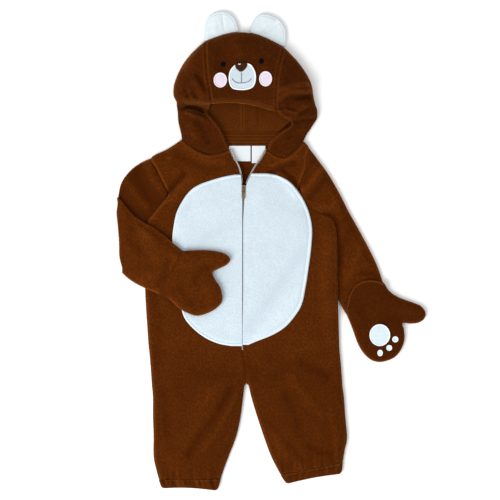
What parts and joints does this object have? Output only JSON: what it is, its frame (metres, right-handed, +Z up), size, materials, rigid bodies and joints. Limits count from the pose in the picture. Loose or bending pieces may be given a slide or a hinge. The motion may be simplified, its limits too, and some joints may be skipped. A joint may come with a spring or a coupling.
{
  "type": "hooded bear costume romper",
  "caption": "Child's hooded fleece romper with a bear's face and ears on the hood, a white belly, a front zip and closed mittens, laid flat with one sleeve folded over the front.",
  "frame": {"origin": "middle of the footprint, on the surface that the garment lies on", "axes": "+X to the wearer's left, +Y from the legs to the hood, +Z up from the surface"},
  "size_m": [0.5099, 0.7918, 0.0355],
  "materials": {
    "brown_fleece": "napped fleece",
    "brown_lining": "short nap",
    "white_fleece": "napped fleece",
    "pink_satin": "satin stitch",
    "nose_satin": "satin stitch",
    "black_thread": "satin stitch",
    "label_satin": "woven satin",
    "zip_bronze": "aged"
  },
  "bodies": {
    "garment": {"back_left": "brown_fleece", "back_right": "brown_fleece", "belly_left": "white_fleece", "belly_right": "white_fleece", "cheek_left": "pink_satin", "cheek_right": "pink_satin", "ear_left_back": "white_fleece", "ear_left_front": "white_fleece", "ear_right_back": "white_fleece", "ear_right_front": "white_fleece", "eye_left": "black_thread", "eye_right": "black_thread", "front_left": "brown_fleece", "front_right": "brown_fleece", "hem_left": "brown_fleece", "hem_right": "brown_fleece", "hood_centre": "brown_fleece", "hood_lining_left": "brown_lining", "hood_lining_right": "brown_lining", "hood_side_left": "brown_fleece", "hood_side_right": "brown_fleece", "label_left": "label_satin", "label_right": "label_satin", "mitten_left_back": "brown_fleece", "mitten_left_palm": "brown_fleece", "mitten_right_back": "brown_fleece", "mitten_right_palm": "brown_fleece", "muzzle": "white_fleece", "neck_band": "brown_lining", "nose": "nose_satin", "paw_pad": "white_fleece", "paw_toe_1": "white_fleece", "paw_toe_2": "white_fleece", "paw_toe_3": "white_fleece", "sleeve_left": "brown_fleece", "sleeve_right": "brown_fleece", "zip_chain": "zip_bronze", "zip_row_left": "zip_bronze", "zip_row_right": "zip_bronze", "zip_slider": "zip_bronze"},
    "pull_tab": {"zip_pull": "zip_bronze"}
  },
  "joints": [
    {"name": "pull_tab_hinge", "type": "hinge", "parent": "garment", "child": "pull_tab", "pos_m": [-0.0462, 0.101, 0.0162], "axis": [-1, 0, 0], "range_deg": [0, 170]}
  ]
}
